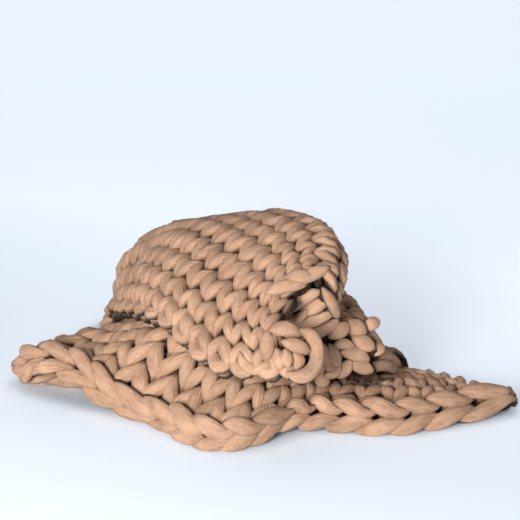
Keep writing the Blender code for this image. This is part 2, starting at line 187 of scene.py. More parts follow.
@dataclass
class Cloth:
    """The middle surface of the cloth, read by wale and course."""

    gauge: Gauge
    centre: Vector                # the middle of the heap on the floor in the tables' frame
    across: int = 3               # points of the grid a wale
    along: int = 4                # points of the grid a course
    fine_places: int = 1600       # along a column, from which its courses are spaced
    own_spacing: float = 0.3      # share of a column's own spacing of its courses
    ease_across: float = 0.25
    ease_along: float = 0.1
    ease_turns: int = 3
    settle_turns: int = 90
    settle_across: float = 0.12
    settle_along: float = 0.06
    bend_reach: float = 0.85      # of a way over the cloth, where it may bend on itself
    tangent: float = 0.25         # way to either side from which a direction is read
    grid: np.ndarray = field(init=False, repr=False)

    def __post_init__(self) -> None:
        """Lays the sections, spaces the courses and settles the layers."""
        net = self.section_lines(np.linspace(0, 1, self.across * self.gauge.wales + 1))
        net[..., 2] += self.gauge.half
        grid = self.spaced(net)
        grid[..., 2] = np.maximum(grid[..., 2], self.gauge.half)
        grid = grid + to_neighbours(grid, 0) * self.ease_across
        for _ in range(self.ease_turns):
            grid = grid + to_neighbours(grid, 1) * self.ease_along
        self.grid = self.settled(grid) - np.array(self.centre)

    def spaced(self, net: np.ndarray) -> np.ndarray:
        """Courses spaced over the sections.

        Args:
            net: The lines of the sections, by section and column.

        Returns:
            Points by column and row, at nearly even ways along each column.
        """
        columns, rows = net.shape[1], self.along * self.gauge.courses + 1
        step = np.linalg.norm(np.diff(net, axis=0), axis=2).mean(axis=1)
        knots = np.concatenate([[0], np.cumsum(np.sqrt(step))])
        place = np.linspace(0, knots[-1], self.fine_places)
        run = ways(cubic(knots, net, place))
        run /= run[-1]
        share = np.linspace(0, 1, rows)
        common = np.interp(share, run.mean(axis=1), place)
        grid = np.empty((columns, rows, 3))
        for i in range(columns):
            own = np.interp(share, run[:, i], place)
            grid[i] = cubic(knots, net[:, i], common + (own - common) * self.own_spacing)
        return grid

    def section_lines(self, shares: np.ndarray) -> np.ndarray:
        """Lines of every section of the cloth.

        Args:
            shares: Places across the cloth, 0 to 1.

        Returns:
            One line of points a section, from the front edge to the top fold's edge.
        """
        knots = [station.share for station in FLOOR_STATIONS]
        lines = [cubic(knots, np.array(row.line, float), shares) for row in FLOOR]
        for row in UPPER:
            line = cubic(UPPER_SHARES, np.array(row.line, float), shares)
            lines += self.fold_lines(row, line) if row.side else [line]
        return np.array(lines)

    @staticmethod
    def fold_lines(row: Upper, line: np.ndarray) -> list[np.ndarray]:
        """Lines round a fold.

        Args:
            row: The fold's section.
            line: Its outermost line.

        Returns:
            Lines from the fold's lower layer over the outermost line to its upper layer.
        """
        along = np.gradient(line, axis=0)
        along[:, 2] = 0
        along /= np.linalg.norm(along, axis=1, keepdims=True)
        outward = row.side * np.stack([-along[:, 1], along[:, 0], 0 * along[:, 0]], axis=1)
        upward = np.array([0, 0, 1.0])
        lean = math.radians(row.lean) * row.side
        out = outward * math.cos(lean) + upward * math.sin(lean)
        over = -outward * math.sin(lean) + upward * math.cos(lean)
        return [line + (out * (a - 1) + over * b) * row.radius for a, b in FOLD_POINTS]

    def settled(self, grid: np.ndarray) -> np.ndarray:
        """Layers pushed apart and kept off the floor.

        Args:
            grid: Points by column and row.

        Returns:
            The same grid with its layers a layer's gap apart.
        """
        across, along = np.gradient(grid, axis=(0, 1))
        stretch = [(one * other).sum(axis=2).ravel() for one, other in
                   ((across, across), (across, along), (along, along))]
        for _ in range(self.settle_turns):
            move, hits = self.pushes(grid, stretch)
            if not hits.any():
                break
            grid = grid + (move / np.maximum(hits, 1)[:, None]).reshape(grid.shape)
            eased = (grid + to_neighbours(grid, 0) * self.settle_across
                     + to_neighbours(grid, 1) * self.settle_along)
            grid = np.where(hits.reshape(grid.shape[:2] + (1,)) > 0, eased, grid)
            grid[..., 2] = np.maximum(grid[..., 2], self.gauge.half)
        return grid

    def pushes(self, grid: np.ndarray, stretch: list[np.ndarray]) -> tuple[np.ndarray, np.ndarray]:
        """Pushes on the points of layers that lie too close to one another.

        Args:
            grid: Points by column and row.
            stretch: Products of the steps across and along at each point: across by
                across, across by along and along by along.

        Returns:
            The sum of the pushes on each point, and their number.
        """
        gap = self.gauge.layer_gap
        wide, skew, long = stretch
        flat = grid.reshape(-1, 3)
        column, row = np.divmod(np.arange(len(flat)), grid.shape[1])
        move = np.zeros_like(flat)
        hits = np.zeros(len(flat))
        cell = np.floor(flat / gap).astype(int)
        cell -= cell.min(axis=0) - 1
        size = cell.max(axis=0) + 2
        code = (cell[:, 0] * size[1] + cell[:, 1]) * size[2] + cell[:, 2]
        order = np.argsort(code, kind="stable")
        sorted_code = code[order]
        for offset in np.ndindex(3, 3, 3):
            dx, dy, dz = np.array(offset) - 1
            want = code + (dx * size[1] + dy) * size[2] + dz
            low = np.searchsorted(sorted_code, want, "left")
            high = np.searchsorted(sorted_code, want, "right")
            for k in range(int((high - low).max())):
                one = np.nonzero(low + k < high)[0]
                other = order[low[one] + k]
                dw, dc = column[one] - column[other], row[one] - row[other]
                reach = ((wide[one] + wide[other]) * dw**2
                         + (skew[one] + skew[other]) * 2 * dw * dc
                         + (long[one] + long[other]) * dc**2) / 2
                reach = np.sqrt(np.maximum(reach, 0)) * self.bend_reach
                least = gap * np.sin(np.minimum(reach / gap, math.pi / 2))
                away = flat[one] - flat[other]
                distance = np.linalg.norm(away, axis=1)
                near = (distance < least) & (distance > TINY)
                one, away, distance, least = one[near], away[near], distance[near], least[near]
                push = away / distance[:, None] * ((least - distance) / 2)[:, None]
                np.add.at(move, one, push)
                np.add.at(hits, one, 1)
        return move, hits

    def read(self, wale: np.ndarray, course: np.ndarray) -> np.ndarray:
        """Bicubic reading of the settled grid.

        Args:
            wale: Places across, from 0 to the number of wales.
            course: Places along, from 0 to the number of courses.

        Returns:
            Points on the middle surface.
        """
        weights, index = [], []
        for value, per, last in ((wale, self.across, self.grid.shape[0] - 1),
                                 (course, self.along, self.grid.shape[1] - 1)):
            x = value * per
            k = np.clip(np.floor(x).astype(int), 0, last - 1)
            u = x - k
            weights.append((-.5 * u**3 + u**2 - .5 * u, 1.5 * u**3 - 2.5 * u**2 + 1,
                            -1.5 * u**3 + 2 * u**2 + .5 * u, .5 * u**3 - .5 * u**2))
            index.append([np.clip(k + o, 0, last) for o in (-1, 0, 1, 2)])
        total = np.zeros(np.shape(wale) + (3,))
        for a in range(4):
            for b in range(4):
                share = (weights[0][a] * weights[1][b])[..., None]
                total = total + share * self.grid[index[0][a], index[1][b]]
        return total

    def place(self, wale: np.ndarray, course: np.ndarray) -> tuple[np.ndarray, ...]:
        """Points on the middle surface with their directions and stretch.

        Args:
            wale: Places across; past an edge the cloth runs straight on.
            course: Places along; past an edge the cloth runs straight on.

        Returns:
            Points, unit directions along and normal, and the cloth's stretch.
        """
        gauge, reach = self.gauge, self.tangent
        inner_w, inner_c = np.clip(wale, 0, gauge.wales), np.clip(course, 0, gauge.courses)
        w0, w1 = np.clip(inner_w - reach, 0, None), np.clip(inner_w + reach, None, gauge.wales)
        c0, c1 = np.clip(inner_c - reach, 0, None), np.clip(inner_c + reach, None, gauge.courses)
        across = (self.read(w1, inner_c) - self.read(w0, inner_c)) / (w1 - w0)[..., None]
        along = (self.read(inner_w, c1) - self.read(inner_w, c0)) / (c1 - c0)[..., None]
        base = self.read(inner_w, inner_c)
        base = base + across * (wale - inner_w)[..., None] + along * (course - inner_c)[..., None]
        wide = np.linalg.norm(across, axis=-1)
        long = np.linalg.norm(along, axis=-1)
        stretch = np.sqrt(wide / gauge.wale_pitch * long / gauge.course_pitch)
        return base, along / long[..., None], unit(np.cross(across, along)), stretch


# ---- the yarn --------------------------------------------------------------------
@dataclass
class Route:
    """The line of a length of yarn, with its two half widths and its surface's outward side."""

    points: np.ndarray
    outward: np.ndarray           # out of the cloth's knit face
    lift: np.ndarray              # of the line off the middle of the cloth, along outward, raised by each piece's light offset; it sets only the painted crease shade
    half_width: np.ndarray
    half_depth: np.ndarray
    bend: np.ndarray              # 1 where the yarn dives under its neighbour

    def sides(self) -> tuple[np.ndarray, np.ndarray]:
        """Directions of the yarn's sides.

        Returns:
            Unit directions across the yarn and out of the cloth at each point.
        """
        ahead = unit(np.gradient(self.points, axis=0))
        out = unit(self.outward - ahead * (self.outward * ahead).sum(axis=1, keepdims=True))
        return np.cross(ahead, out), out


@dataclass
class Tube:
    """A filled tube of yarn, swept from an even grid along one or more routes."""

    name: str
    routes: list[Route]
    seed: int                     # of the soft folds; each further route has the next one
    proud: float = 0.0225         # height off the cloth's middle that lies in full light
    sides: int = 14
    roundness: float = 2.3        # 2 is an ellipse, more is squarer
    folds: int = 3                # soft folds round the yarn
    crease: float = 0.045         # their depth, as a share
    crease_at_rest: float = 0.35  # share of it that stays where the yarn doesn't dive
    crease_turn: float = 1.6      # how far they wander round the yarn, in radians
    lump: float = 0.03            # unevenness of the yarn's size
    lump_spacing: int = 12        # points of the line from one lump to the next
    floor: float = 0.0008         # height of the lowest points

    def ring(self, route: Route, seed: int) -> tuple[np.ndarray, np.ndarray]:
        """Points round the yarn at every point of its line.

        Args:
            route: The yarn's line.
            seed: Seeds the soft folds.

        Returns:
            Points by place along and place round, with the first one repeated at the end,
            and how far each one stands proud of the cloth's middle, 0 to 1.
        """
        rng = np.random.default_rng(seed)
        aside, out = route.sides()
        count = len(route.points)
        angle = np.linspace(0, 2 * math.pi, self.sides + 1)
        cosine, sine = np.cos(angle), np.sin(angle)
        power = 2 / self.roundness
        wide = np.sign(cosine) * np.abs(cosine) ** power
        deep = np.sign(sine) * np.abs(sine) ** power
        knots = np.arange(0, count + self.lump_spacing, self.lump_spacing)
        turn = np.interp(np.arange(count), knots, rng.normal(0, self.crease_turn, len(knots)))
        lump = np.interp(np.arange(count), knots, rng.normal(0, self.lump, len(knots)))
        depth = self.crease_at_rest + (1 - self.crease_at_rest) * route.bend
        fold = 1 + self.crease * depth[:, None] * np.cos(
            self.folds * angle[None, :] + turn[:, None]) + lump[:, None]
        ring = (route.points[:, None]
                + aside[:, None] * (wide[None, :] * route.half_width[:, None] * fold)[..., None]
                + out[:, None] * (deep[None, :] * route.half_depth[:, None] * fold)[..., None])
        ring[:, -1] = ring[:, 0]
        ring[0], ring[-1] = route.points[0], route.points[-1]
        ring[..., 2] = np.maximum(ring[..., 2], self.floor)
        # how proud each point stands sets how deep the finish paints shade on it
        proud = route.lift[:, None] + deep[None, :] * route.half_depth[:, None]
        return ring, np.clip(np.abs(proud) / self.proud, 0, 1)

    def sweep(self, bm: bmesh.types.BMesh, route: Route, seed: int) -> None:
        """Adds one length of yarn, closed round and at its ends.

        Args:
            bm: The mesh, with its UV map and its two attributes.
            route: The yarn's line.
            seed: Seeds the soft folds.
        """
        lengthwise = bm.loops.layers.uv["yarn"]
        diving, open_air = (bm.verts.layers.float[name] for name in ("bend", "proud"))
        ring, proud = self.ring(route, seed)
        count = len(ring)
        made = bmesh.ops.create_grid(bm, x_segments=count - 1, y_segments=self.sides,
                                     size=1.0, calc_uvs=True)["verts"]
        metres = ways(route.points)
        seam = []
        for vert in made:
            i = round((vert.co.x + 1) / 2 * (count - 1))
            j = round((vert.co.y + 1) / 2 * self.sides)
            vert.co = ring[i, j]
            vert[diving] = float(route.bend[i])
            vert[open_air] = float(proud[i, j])
            for loop in vert.link_loops:
                loop[lengthwise].uv = (metres[i], j / self.sides)
            if j in (0, self.sides) or i in (0, count - 1):
                seam.append(vert)
        bmesh.ops.remove_doubles(bm, verts=seam, dist=TINY)

    def build(self, finish: bpy.types.Material) -> bpy.types.Object:
        """The yarn as one dressed object, at the origin.

        Args:
            finish: Its material.

        Returns:
            The finished piece.
        """
        bm = bmesh.new()
        bm.loops.layers.uv.new("yarn")
        bm.verts.layers.float.new("bend")
        bm.verts.layers.float.new("proud")
        for number, route in enumerate(self.routes):
            self.sweep(bm, route, self.seed + number)
        bmesh.ops.recalc_face_normals(bm, faces=bm.faces)
        piece = placed(bm, self.name)
        piece.data.materials.append(finish)
        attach(piece, "root")
        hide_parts(CAD_NODE)
        return piece


def placed(bm: bmesh.types.BMesh, name: str) -> bpy.types.Object:
    """Turns a finished bmesh into an object of the scene.

    Args:
        bm: The bmesh, which is freed.
        name: The object's name, and its mesh's.

    Returns:
        The smooth object, at the origin.
    """
    mesh = bpy.data.meshes.new(name)
    bm.to_mesh(mesh)
    bm.free()
    mesh.shade_smooth()
    made = bpy.data.objects.new(name, mesh)
    bpy.context.scene.collection.objects.link(made)
    return made


def leaf(front: np.ndarray, thin: float = .36, gain: float = .68) -> np.ndarray:
    """Width of yarn that is plump where it comes forward (1) and thin where it dives (-1)."""
    return thin + gain * ((front + 1) / 2) ** 2


def lifted(front: np.ndarray, power: float = 1.7) -> np.ndarray:
    """Height of such yarn off the cloth's middle, from -1 to 1."""
    return 2 * ((front + 1) / 2) ** power - 1


def dive(front: np.ndarray, power: float = .7) -> np.ndarray:
    """How far such yarn is bent, 1 where it dives."""
    return np.clip(.5 - .5 * front, 0, 1) ** power


Length = namedtuple("Length", "name first last rise proud stitch_seed fold_seed")
LENGTHS = (                       # of yarn, each knitted through its own rows
    Length("floor_rows", 0, Gauge.turn_course, .0128, .0225, 5, 30),
    Length("middle_rows", Gauge.turn_course, 18, .0128, .0225, 12, 37),
    Length("top_rows", 18, Gauge.courses, .0155, .0290, 23, 48),
)


@dataclass
class KnitRows:
    """Rows of stitches: one length of yarn that runs to and fro through them."""

    cloth: Cloth
    length: Length
    loop_height: float = 1.0      # of a stitch from its middle, in courses
    loop_swing: float = 0.322     # of its legs, in wales
    half_width: float = 0.0150
    half_depth: float = 0.0140
    least_stretch: float = 0.60   # of the cloth, from which on its yarn stays as wide
    most_stretch: float = 1.15
    points_a_stitch: int = 26
    unevenness: float = 0.07
    turn_points: int = 9          # of the yarn's turn from one row to the next
    turn_reach: float = 0.30      # past the edge, in wales
    turn_cross: float = 1.2       # how far it passes over to the other face, in its own heights
    turn_width: float = 0.80      # at its ends, as a share
    turn_swell: float = 0.15      # how much wider its bow is
    turn_bend: float = 0.6        # half as much at its bow
    turn_light: float = 0.5       # of a last loop's tip
    edge_reach: float = -0.30     # of the last row's loops past their own row, in courses
    edge_grip: float = 0.35       # how far those loops are drawn shut
    edge_ease: float = 0.6        # less for blunter tips
    edge_width: float = 0.62
    edge_light: float = 0.0085    # how far their tips stand in the light, as a height
    cast_on_points: int = 8       # a stitch, of the strand that lies behind those loops
    cast_on_reach: float = -0.06  # past the last row, in courses
    cast_on_wave: float = 0.20
    cast_on_lift: float = 0.003
    cast_on_width: float = 0.893  # of the other yarn's
    cast_on_depth: float = 0.855
    cast_on_bend: float = 0.38

    def face(self, course: int) -> KnitFace:
        """The knit face of one row."""
        return KnitFace.UPPER if course < self.cloth.gauge.turn_course else KnitFace.LOWER

    def build(self, finish: bpy.types.Material) -> bpy.types.Object:
        """Knits and dresses the rows, with the cast-on strand behind the last one.

        Args:
            finish: The yarn's material.

        Returns:
            The finished piece.
        """
        routes = [self.route()]
        if self.length.last == self.cloth.gauge.courses:
            routes.append(self.cast_on())
        return Tube(self.length.name, routes, self.length.fold_seed,
                    self.length.proud).build(finish)

    def route(self) -> Route:
        """The yarn's line to and fro through the rows.

        Returns:
            The line with its widths.
        """
        rng = np.random.default_rng(self.length.stitch_seed)
        strips = []
        for number, row in enumerate(range(self.length.first, self.length.last)):
            strip = self.row(row, rng)
            side = 1
            if number % 2:
                strip, side = strip[:, ::-1], -1
            strips.append(strip)
            if row + 1 < self.length.last:
                strips.append(self.turn(strip[:, -1], row, side))
        wale, course, height, width, bend, tip = np.concatenate(strips, axis=1)
        base, _, normal, stretch = self.cloth.place(wale, course)
        sizes = np.clip(stretch, self.least_stretch, self.most_stretch) * width
        out = self.face(self.length.first).value
        return Route(base + normal * height[:, None], normal * out,
                     np.maximum(height * out, self.edge_light * tip),
                     self.half_width * sizes, self.half_depth * np.sqrt(sizes), bend)

    def row(self, row: int, rng: np.random.Generator) -> np.ndarray:
        """One row of stitches, from the first wale to the last.

        Args:
            row: Its number.
            rng: Makes the stitches uneven.

        Returns:
            Lines of wale, course, height, width, bend and nearness to a last loop's tip.
        """
        wales, face = self.cloth.gauge.wales, self.face(row)
        turn = np.linspace(0, 2 * math.pi * wales, self.points_a_stitch * wales + 1)
        stitch = np.minimum((turn / (2 * math.pi)).astype(int), wales - 1)
        tall = self.loop_height * (1 + rng.normal(0, self.unevenness, wales + 1))[stitch]
        plump = 1 + np.interp(turn, np.arange(2 * wales + 1) * math.pi,
                              rng.normal(0, self.unevenness, 2 * wales + 1))
        front = -np.cos(2 * turn)
        along = -np.cos(turn) * tall * face.value
        tip = np.zeros_like(turn)
        if row == self.cloth.gauge.courses - 1:
            tip = np.clip(along / self.loop_height, 0, 1) ** self.edge_ease
        swing = self.loop_swing * (1 - self.edge_grip * tip)
        return np.array([
            turn / (2 * math.pi) + swing * np.sin(2 * turn),
            row + .5 + along + self.edge_reach * tip,
            face.value * self.length.rise * lifted(front),
            np.maximum(leaf(front), self.edge_width * tip) * plump, dive(front), tip])

    def turn(self, end: np.ndarray, row: int, side: int) -> np.ndarray:
        """The yarn's turn at an edge, from one row up to the next.

        Args:
            end: The row's last values.
            row: Its number.
            side: 1 at the last wale, -1 at the first.

        Returns:
            Lines of the same values as a row's.
        """
        wale, course, height = end[:3]
        bow = np.sin(np.linspace(0, math.pi, self.turn_points))[1:-1]
        next_course = row + 1.5 - self.loop_height * self.face(row + 1).value
        return np.array([
            wale + side * self.turn_reach * bow,
            np.linspace(course, next_course, self.turn_points)[1:-1],
            height * (1 - self.turn_cross * bow), self.turn_width + self.turn_swell * bow,
            self.turn_bend * (1 - bow / 2), self.turn_light * bow])

    def cast_on(self) -> Route:
        """The strand that runs along behind the loops of the last row.

        Returns:
            The line with its widths.
        """
        gauge = self.cloth.gauge
        wale = np.linspace(0, gauge.wales, self.cast_on_points * gauge.wales + 1)
        wave = np.cos(2 * math.pi * wale)
        course = gauge.courses + self.cast_on_reach + self.cast_on_wave * wave
        base, _, normal, _ = self.cloth.place(wale, course)
        even = np.ones_like(wale)
        lift = self.cast_on_lift * (1 + wave)
        return Route(base - normal * lift[:, None], -normal, lift + self.edge_light,
                     self.half_width * self.cast_on_width * even,
                     self.half_depth * self.cast_on_depth * even, self.cast_on_bend * even)


@dataclass
class EdgeChain:
    """The chain along the front edge: plump links, each drawn through the one before."""

    cloth: Cloth
    tilt: float = 50.0            # of its face, in degrees, outwards from the cloth's own
    out: float = 0.014            # its middle beyond the edge
    lift: float = 0.008           # its middle above the middle of the cloth
    reach: float = 0.068          # across the chain, a whole stitch
    link_height: float = 0.90     # half a link, in wales
    swing: float = 0.250
    rise: float = 0.0100
    half_width: float = 0.0172
    half_depth: float = 0.0134
    least_stretch: float = 0.80
    most_stretch: float = 1.12
    end_share: float = 0.10       # of a link that is drawn in at each end
    end_tuck: float = 0.016       # how deep
    end_shorten: float = 0.12
    end_narrow: float = 0.6
    light: float = 0.0070         # how far it stands in the light, as a height
    points: int = 30
    unevenness: float = 0.06
    link_seed: int = 3
    fold_seed: int = 90

    def build(self, finish: bpy.types.Material) -> bpy.types.Object:
        """Makes and dresses the chain.

        Args:
            finish: The yarn's material.

        Returns:
            The finished piece.
        """
        rng = np.random.default_rng(self.link_seed)
        routes = [self.link(number, 1 + rng.normal(0, self.unevenness, 3))
                  for number in range(self.cloth.gauge.wales)]
        return Tube("front_chain", routes, self.fold_seed).build(finish)

    def link(self, number: int, uneven: np.ndarray) -> Route:
        """The line of one link.

        Args:
            number: Its wale.
            uneven: Shares of its height, its reach and its size.

        Returns:
            The line with its widths.
        """
        share = np.linspace(0, 1, self.points)
        turn = share * 2 * math.pi
        drawn_in = np.abs(share - .5) - (.5 - self.end_share)
        tucked = np.clip(drawn_in / self.end_share, 0, 1)
        high = self.link_height * uneven[0] * (1 - self.end_shorten * tucked)
        wale = number + .5 + np.cos(turn) * high
        side = (share - .5 + self.swing * np.sin(2 * turn)) * self.reach * uneven[1]
        side *= 1 - self.end_narrow * tucked
        front = -np.cos(2 * turn)
        base, along, normal, stretch = self.cloth.place(wale, np.zeros_like(wale))
        tilt = math.radians(self.tilt)
        down = -along * math.cos(tilt) - normal * math.sin(tilt)
        outward = normal * math.cos(tilt) - along * math.sin(tilt)
        lift = self.rise * front - self.end_tuck * tucked
        points = (base - along * self.out + normal * self.lift
                  + down * side[:, None] + outward * lift[:, None])
        sizes = np.clip(stretch, self.least_stretch, self.most_stretch) * leaf(front) * uneven[2]
        return Route(points, outward, lift + self.light, self.half_width * sizes,
                     self.half_depth * np.sqrt(sizes), dive(front))


Strand = namedtuple("Strand", "name width line")
# Widths, and a place's way right and down, are in steps of the picture. Its third number is
# how far back it lies, in metres.
STRANDS = (
    # the curled corner under the top section
    Strand("corner rim", 14, ((266, 332, -.178), (283, 329, -.172), (302, 336, -.162))),
    Strand("corner leaf", 13, ((280, 341, -.193), (296, 346, -.195), (311, 353, -.188))),
    Strand("corner inner", 11, ((291, 353, -.200), (299, 360, -.208), (295, 370, -.222))),
    Strand("corner hook", 13, ((298, 329, -.162), (311, 336, -.170), (316, 348, -.180),
                               (317, 360, -.195), (311, 371, -.215), (299, 377, -.232),
                               (285, 372, -.228))),
    Strand("corner bulb left", 11, ((276, 347, -.200), (281, 371, -.220))),
    Strand("corner bulb right", 10, ((285, 348, -.200), (289, 369, -.224))),
    Strand("corner upright", 14, ((267, 330, -.176), (268, 361, -.215))),
    Strand("corner under", 10, ((239, 351, -.190), (246, 366, -.204), (255, 370, -.204),
                                (264, 366, -.210), (272, 361, -.214))),
    # the right end of the top section and the gap under it
    Strand("end leaf low", 12, ((264, 294, -.119), (284, 287, -.120), (308, 284, -.100))),
    Strand("end leaf", 13, ((282, 284, -.112), (298, 277, -.103), (316, 279, -.090))),
    Strand("end leaf high", 12, ((296, 283, -.106), (313, 274, -.088), (330, 267, -.070))),
    Strand("gap leaf", 13, ((288, 313, -.078), (305, 297, -.074), (323, 291, -.076))),
    Strand("gap leaf low", 13, ((298, 314, -.072), (316, 306, -.076), (330, 300, -.076))),
    Strand("gap strand", 10, ((276, 317, -.110), (292, 322, -.085), (310, 309, -.084))),
    Strand("gap upright", 10, ((322, 287, -.100), (331, 302, -.096), (338, 318, -.066))),
    Strand("gap deep", 14, ((290, 328, -.088), (312, 320, -.070), (336, 311, -.062))),
    Strand("gap deepest", 14, ((300, 338, -.086), (318, 331, -.064), (340, 320, -.048))),
    # the lower roll of the fold on the right
    Strand("roll top left", 13, ((328, 338, -.066), (340, 331, -.054), (350, 324, -.038))),
    Strand("roll top", 16, ((348, 321, -.026), (357, 329, -.040), (366, 336, -.046))),
    Strand("roll ball high", 15, ((368, 318, -.018), (374, 330, -.020))),
    Strand("roll ball low", 14, ((375, 342, -.036), (379, 356, -.042))),
    Strand("roll right", 14, ((351, 337, -.050), (362, 342, -.055), (375, 350, -.060))),
    Strand("roll crossing", 10, ((332, 347, -.072), (343, 344, -.068), (355, 347, -.062))),
    Strand("roll middle", 13, ((339, 352, -.072), (355, 354, -.068), (370, 361, -.062))),
    Strand("roll low right", 13, ((346, 362, -.070), (360, 366, -.068), (374, 372, -.064))),
    Strand("roll low left", 12, ((335, 378, -.078), (344, 370, -.076), (352, 359, -.072))),
    Strand("roll foot", 15, ((317, 373, -.080), (327, 385, -.076))),
    Strand("roll upright", 12, ((321, 342, -.078), (327, 360, -.078), (335, 377, -.080))),
    Strand("roll upright right", 12, ((329, 343, -.074), (334, 356, -.076), (338, 370, -.079))),
    Strand("roll foot right", 10, ((324, 376, -.084), (333, 373, -.083), (342, 365, -.080))),
    Strand("roll left", 11, ((316, 348, -.080), (319, 362, -.080), (321, 376, -.082))),
    Strand("roll behind high", 10, ((370, 357, -.030), (384, 355, .005), (400, 367, .050))),
    Strand("roll behind", 10, ((362, 370, -.052), (378, 366, -.030), (398, 370, .040))),
    # under the far end of the looped edge
    Strand("left end low", 12, ((100, 325, .340), (118, 320, .315), (142, 324, .260))),
    Strand("left end", 12, ((110, 318, .335), (128, 314, .300), (150, 320, .250))),
)


@dataclass
class LooseStrands:
    """Yarn that stands out of the rows, laid as it is seen from the front."""

    studio: "Studio"
    plump: float = 1.22
    depth: float = 0.80           # of its half width
    taper: float = 0.80           # 0.5 for a round end, more for a pointed one
    ball_taper: float = 0.5
    ball_length: float = 2.2      # half widths; a shorter strand is a ball
    cap_length: float = 3.0       # half widths over which an end narrows
    blunt: float = 0.02           # share of its size that is left at its end
    light: float = 0.0105         # how far a strand stands in the light, as a height
    end_light: float = 0.0055     # how much further its thin ends stand in it
    outward: tuple[float, ...] = (.1, -.8, .6)
    spacing: float = 0.0035
    least_points: int = 12
    fold_seed: int = 200

    def build(self, finish: bpy.types.Material) -> bpy.types.Object:
        """Lays and dresses the strands."""
        routes = [self.route(strand) for strand in STRANDS]
        return Tube("loose_strands", routes, self.fold_seed).build(finish)

    def route(self, strand: Strand) -> Route:
        """The line of one strand.

        Args:
            strand: Its row in the table.

        Returns:
            The line with its widths.
        """
        seen = [self.studio.seen(*place) for place in strand.line]
        corners = np.array([place for place, _ in seen])
        knots = ways(corners)
        length = knots[-1]
        count = max(int(length / self.spacing), self.least_points)
        along = np.linspace(0, length, count)
        half = strand.width / 2 * seen[0][1] * self.plump
        taper = self.ball_taper if length < self.ball_length * half else self.taper
        cap = min(self.cap_length * half, length / 2)
        to_end = np.minimum(along, length - along)
        size = np.clip(1 - (1 - np.minimum(to_end / cap, 1)) ** 2, self.blunt, 1) ** taper
        return Route(cubic(knots, corners, along), np.tile(np.array(self.outward), (count, 1)),
                     self.light + self.end_light * (1 - size), half * size,
                     half * self.depth * np.sqrt(size), 1 - size)


# ---- finishes --------------------------------------------------------------------
class Wire:
    """A socket in a shader; its sums and products add their Math nodes."""

    def __init__(self, paint: "Paint", socket: bpy.types.NodeSocket) -> None:
        """Wraps a socket of a material."""
        self.paint = paint
        self.socket = socket

    def _math(self, operation: str, first: object, second: object) -> "Wire":
        """One Math node of two values or links."""
        return self.paint.node("ShaderNodeMath", {"operation": operation}, {0: first, 1: second})

    def __add__(self, other: object) -> "Wire":
        """Sum."""
        return self._math("ADD", self, other)

    def __mul__(self, other: object) -> "Wire":
        """Product."""
        return self._math("MULTIPLY", self, other)


class Paint:
    """Makes the nodes of one material."""

    def __init__(self, name: str) -> None:
        """Starts a material with its shader.

        Args:
            name: The material's name.
        """
        self.material = bpy.data.materials.new(name)
        self.material.use_nodes = True
        self.tree = self.material.node_tree
        self.shader = self.tree.nodes["Principled BSDF"]

    def node(self, kind: str, settings: dict, sockets: dict, output: int | str = 0) -> Wire:
        """Adds a node.

        Args:
            kind: The node's type.
            settings: Its own settings, set first; a ramp's stops are given as "stops".
            sockets: Values or links of its inputs, by name or number.
            output: The output that is handed on.

        Returns:
            The chosen output.
        """
        made = self.tree.nodes.new(kind)
        for key, value in settings.items():
            if key == "stops":
                ramp = made.color_ramp
                while len(ramp.elements) < len(value):
                    ramp.elements.new(1.0)
                for element, (position, colour) in zip(ramp.elements, value):
                    element.position, element.color = position, colour
            else:
                setattr(made, key, value)
        for key, value in sockets.items():
            self.link(value, made.inputs[key])
        return Wire(self, made.outputs[output])

    def attribute(self, name: str) -> Wire:
        """A number that the mesh carries at its points."""
        return self.node("ShaderNodeAttribute", {"attribute_name": name}, {}, "Fac")

    def mix(self, share: Wire, one: object, other: object) -> Wire:
        """A colour between two, the other one where the share is 1."""
        return self.node("ShaderNodeMix", {"data_type": "RGBA"}, {0: share, 6: one, 7: other}, 2)

    def noise(self, space: Wire, stretch: tuple[float, ...], **sockets: float) -> Wire:
        """Noise over a space, finer along an axis by its number in the stretch."""
        finer = self.node("ShaderNodeMapping", {}, {"Vector": space, "Scale": stretch})
        return self.node("ShaderNodeTexNoise", {}, {"Vector": finer, **sockets})

    def link(self, value: object, socket: bpy.types.NodeSocket) -> None:
        """Links a wire to a socket, or sets the socket's value.

        Args:
            value: The wire or the value.
            socket: An input.
        """
        if isinstance(value, Wire):
            self.tree.links.new(value.socket, socket)
        else:
            socket.default_value = value

    def finish(self, **sockets: object) -> bpy.types.Material:
        """Sets the shader's sockets.

        Args:
            sockets: Values or links by name, with an underscore for a space.

        Returns:
            The finished material.
        """
        for key, value in sockets.items():
            self.link(value, self.shader.inputs[key.replace("_", " ")])
        return self.material


